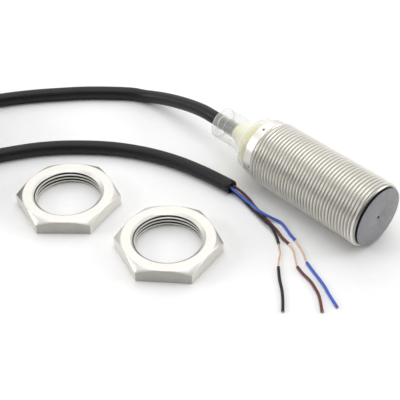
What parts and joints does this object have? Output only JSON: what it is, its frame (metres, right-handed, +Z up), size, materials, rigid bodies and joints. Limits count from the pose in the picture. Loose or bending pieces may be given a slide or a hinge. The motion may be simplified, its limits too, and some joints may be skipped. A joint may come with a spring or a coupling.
{
  "type": "cylindrical proximity sensor",
  "caption": "Threaded cylindrical proximity sensor with a flat sensing face, a translucent cable clamp, a pre-wired cable ending in stripped wires, and loose hex lock nuts.",
  "frame": {"origin": "centre of the flat sensing face", "axes": "+X out of the sensing face along the barrel axis, +Z up, with the barrel lying on a surface 9 mm below its axis"},
  "size_m": [0.1626, 0.1154, 0.018],
  "materials": {
    "nickel": "nickel-plated brass, machined thread, satin-bright",
    "nut_nickel": "nickel-plated brass, turned faces, bright",
    "face": "matte moulded plastic",
    "ferrite": "sintered ferrite, matte",
    "carrier": "natural moulded plastic",
    "winding": "enamelled copper wire",
    "board": "solder-masked laminate",
    "chip": "moulded epoxy",
    "ceramic": "fired ceramic",
    "led": "clear tinted epoxy",
    "resin": "pale yellow casting resin",
    "clamp": "milky translucent polyamide",
    "rubber": "nitrile rubber",
    "sheath": "black PVC sheath, satin",
    "wire_blue": "PVC insulation, satin",
    "wire_brown": "PVC insulation, satin",
    "wire_black": "PVC insulation, satin",
    "copper": "bare stranded copper",
    "tie": "plastic-coated tie"
  },
  "bodies": {
    "root": {"threaded_barrel": "nickel", "sensing_cap": "face", "ferrite_core": "ferrite", "coil_bobbin": "carrier", "sensing_coil": "winding", "core_carrier": "carrier", "circuit_board": "board", "amplifier_chip": "chip", "output_transistor": "chip", "protection_diode": "chip", "filter_capacitor": "ceramic", "supply_capacitor": "ceramic", "tuning_resistor": "ceramic", "output_resistor": "ceramic", "indicator_led": "led", "potting_resin": "resin", "rear_clamp": "clamp", "clamp_seal": "rubber", "cable_in_clamp": "sheath", "cable_from_sensor": "sheath", "cable_to_wires": "sheath", "cable_coil": "sheath", "coil_tie_1": "tie", "coil_tie_2": "tie", "inner_lead_blue": "wire_blue", "wire_blue": "wire_blue", "wire_end_blue": "wire_blue", "copper_blue": "copper", "inner_lead_brown": "wire_brown", "wire_brown": "wire_brown", "wire_end_brown": "wire_brown", "copper_brown": "copper", "inner_lead_black": "wire_black", "wire_black": "wire_black", "wire_end_black": "wire_black", "copper_black": "copper"},
    "nut_1": {"lock_nut_1": "nut_nickel"},
    "nut_2": {"lock_nut_2": "nut_nickel"}
  },
  "joints": [
    {"name": "lock_nut_1_lift", "type": "slide", "parent": "root", "child": "nut_1", "axis": [0, 0, 1], "range_m": [0, 0.05]},
    {"name": "lock_nut_2_lift", "type": "slide", "parent": "root", "child": "nut_2", "axis": [0, 0, 1], "range_m": [0, 0.05]}
  ]
}
